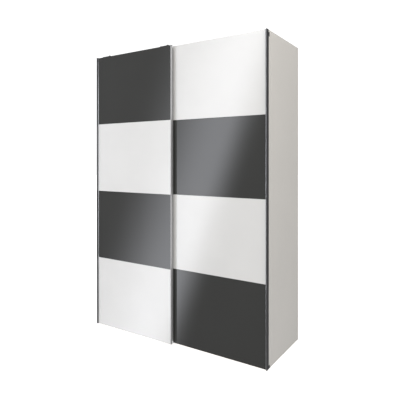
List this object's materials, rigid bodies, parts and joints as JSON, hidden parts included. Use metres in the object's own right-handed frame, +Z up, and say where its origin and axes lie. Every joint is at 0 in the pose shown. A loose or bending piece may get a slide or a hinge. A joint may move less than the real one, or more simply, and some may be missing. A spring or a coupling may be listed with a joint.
{
  "type": "sliding door wardrobe",
  "caption": "Free-standing wardrobe whose glass-faced sliding doors, dark and white in turn, roll along a double track in front of hanging bays with a hat shelf.",
  "frame": {"origin": "on the floor under the middle of the wardrobe's whole box", "axes": "+X to the right as seen from the front, -Y to the front, +Z up"},
  "size_m": [1.49, 0.5946, 2.169],
  "materials": {
    "white_decor_board": "matte white melamine on chipboard",
    "back_board": "matte white foil on fibreboard",
    "dark_glass": "gloss, lacquered dark grey on its back",
    "white_glass": "gloss, lacquered white on its back",
    "satin_aluminium": "satin anodised",
    "dark_coated_steel": "dark grey powder coat",
    "zinc_plated_steel": "zinc plated",
    "chromed_tube": "polished",
    "nylon": "natural white",
    "white_plastic": "matte white",
    "dark_plastic": "fine grained dark grey",
    "rubber": "matte",
    "beech": "raw"
  },
  "bodies": {
    "carcass": {"left_side_panel": "white_decor_board", "right_side_panel": "white_decor_board", "middle_partition": "white_decor_board", "top_panel": "white_decor_board", "bottom_panel": "white_decor_board", "front_plinth": "white_decor_board", "rear_plinth": "white_decor_board", "plinth_cross_rail": "white_decor_board", "left_back_panel": "back_board", "right_back_panel": "back_board", "back_joint_strip": "white_plastic", "left_hat_shelf": "white_decor_board", "right_hat_shelf": "white_decor_board", "left_clothes_rail": "chromed_tube", "right_clothes_rail": "chromed_tube", "clothes_rail_flanges": "zinc_plated_steel", "shelf_pins": "zinc_plated_steel", "cam_locks": "zinc_plated_steel", "cam_bolts": "zinc_plated_steel", "wood_dowels": "beech", "back_panel_screws": "zinc_plated_steel", "floor_glides": "dark_plastic", "door_track": "satin_aluminium", "floor_rail": "satin_aluminium", "rail_end_caps": "dark_plastic", "rail_screws": "zinc_plated_steel", "door_stops": "rubber"},
    "left_door": {"left_door_board": "white_decor_board", "left_door_pane_1": "dark_glass", "left_door_pane_2": "white_glass", "left_door_pane_3": "dark_glass", "left_door_pane_4": "white_glass", "left_door_grip_stile": "satin_aluminium", "left_door_plain_stile": "satin_aluminium", "left_door_end_caps": "dark_plastic", "left_door_hangers": "dark_coated_steel", "left_door_adjusters": "dark_coated_steel", "left_door_axle_pins": "zinc_plated_steel", "left_door_guide_brackets": "dark_coated_steel", "left_door_screws": "zinc_plated_steel"},
    "right_door": {"right_door_board": "white_decor_board", "right_door_pane_1": "white_glass", "right_door_pane_2": "dark_glass", "right_door_pane_3": "white_glass", "right_door_pane_4": "dark_glass", "right_door_grip_stile": "satin_aluminium", "right_door_plain_stile": "satin_aluminium", "right_door_end_caps": "dark_plastic", "right_door_hangers": "dark_coated_steel", "right_door_axle_pins": "zinc_plated_steel", "right_door_guide_brackets": "dark_coated_steel", "right_door_screws": "zinc_plated_steel"},
    "left_door_wheel_1": {"left_door_wheel_1": "nylon"},
    "left_door_wheel_2": {"left_door_wheel_2": "nylon"},
    "left_door_wheel_3": {"left_door_wheel_3": "nylon"},
    "left_door_wheel_4": {"left_door_wheel_4": "nylon"},
    "right_door_wheel_1": {"right_door_wheel_1": "nylon"},
    "right_door_wheel_2": {"right_door_wheel_2": "nylon"},
    "right_door_wheel_3": {"right_door_wheel_3": "nylon"},
    "right_door_wheel_4": {"right_door_wheel_4": "nylon"}
  },
  "joints": [
    {"name": "left_door_slide", "type": "slide", "parent": "carcass", "child": "left_door", "axis": [1, 0, 0], "range_m": [0, 0.7]},
    {"name": "right_door_slide", "type": "slide", "parent": "carcass", "child": "right_door", "axis": [1, 0, 0], "range_m": [-0.7, 0]},
    {"name": "left_wheel_1_spin", "type": "hinge", "parent": "left_door", "child": "left_door_wheel_1", "pos_m": [-0.691, -0.21525, 2.1539], "axis": [0, 1, 0], "continuous": true},
    {"name": "left_wheel_2_spin", "type": "hinge", "parent": "left_door", "child": "left_door_wheel_2", "pos_m": [-0.643, -0.21525, 2.1539], "axis": [0, 1, 0], "continuous": true},
    {"name": "left_wheel_3_spin", "type": "hinge", "parent": "left_door", "child": "left_door_wheel_3", "pos_m": [-0.098, -0.21525, 2.1539], "axis": [0, 1, 0], "continuous": true},
    {"name": "left_wheel_4_spin", "type": "hinge", "parent": "left_door", "child": "left_door_wheel_4", "pos_m": [-0.05, -0.21525, 2.1539], "axis": [0, 1, 0], "continuous": true},
    {"name": "right_wheel_1_spin", "type": "hinge", "parent": "right_door", "child": "right_door_wheel_1", "pos_m": [0.691, -0.21525, 2.1279], "axis": [0, 1, 0], "continuous": true},
    {"name": "right_wheel_2_spin", "type": "hinge", "parent": "right_door", "child": "right_door_wheel_2", "pos_m": [0.643, -0.21525, 2.1279], "axis": [0, 1, 0], "continuous": true},
    {"name": "right_wheel_3_spin", "type": "hinge", "parent": "right_door", "child": "right_door_wheel_3", "pos_m": [0.098, -0.21525, 2.1279], "axis": [0, 1, 0], "continuous": true},
    {"name": "right_wheel_4_spin", "type": "hinge", "parent": "right_door", "child": "right_door_wheel_4", "pos_m": [0.05, -0.21525, 2.1279], "axis": [0, 1, 0], "continuous": true}
  ],
  "couplings": [
    {"joint": "left_wheel_1_spin", "follows": "left_door_slide", "rad_per_m": 117.65},
    {"joint": "left_wheel_2_spin", "follows": "left_door_slide", "rad_per_m": 117.65},
    {"joint": "left_wheel_3_spin", "follows": "left_door_slide", "rad_per_m": 117.65},
    {"joint": "left_wheel_4_spin", "follows": "left_door_slide", "rad_per_m": 117.65},
    {"joint": "right_wheel_1_spin", "follows": "right_door_slide", "rad_per_m": 117.65},
    {"joint": "right_wheel_2_spin", "follows": "right_door_slide", "rad_per_m": 117.65},
    {"joint": "right_wheel_3_spin", "follows": "right_door_slide", "rad_per_m": 117.65},
    {"joint": "right_wheel_4_spin", "follows": "right_door_slide", "rad_per_m": 117.65}
  ]
}
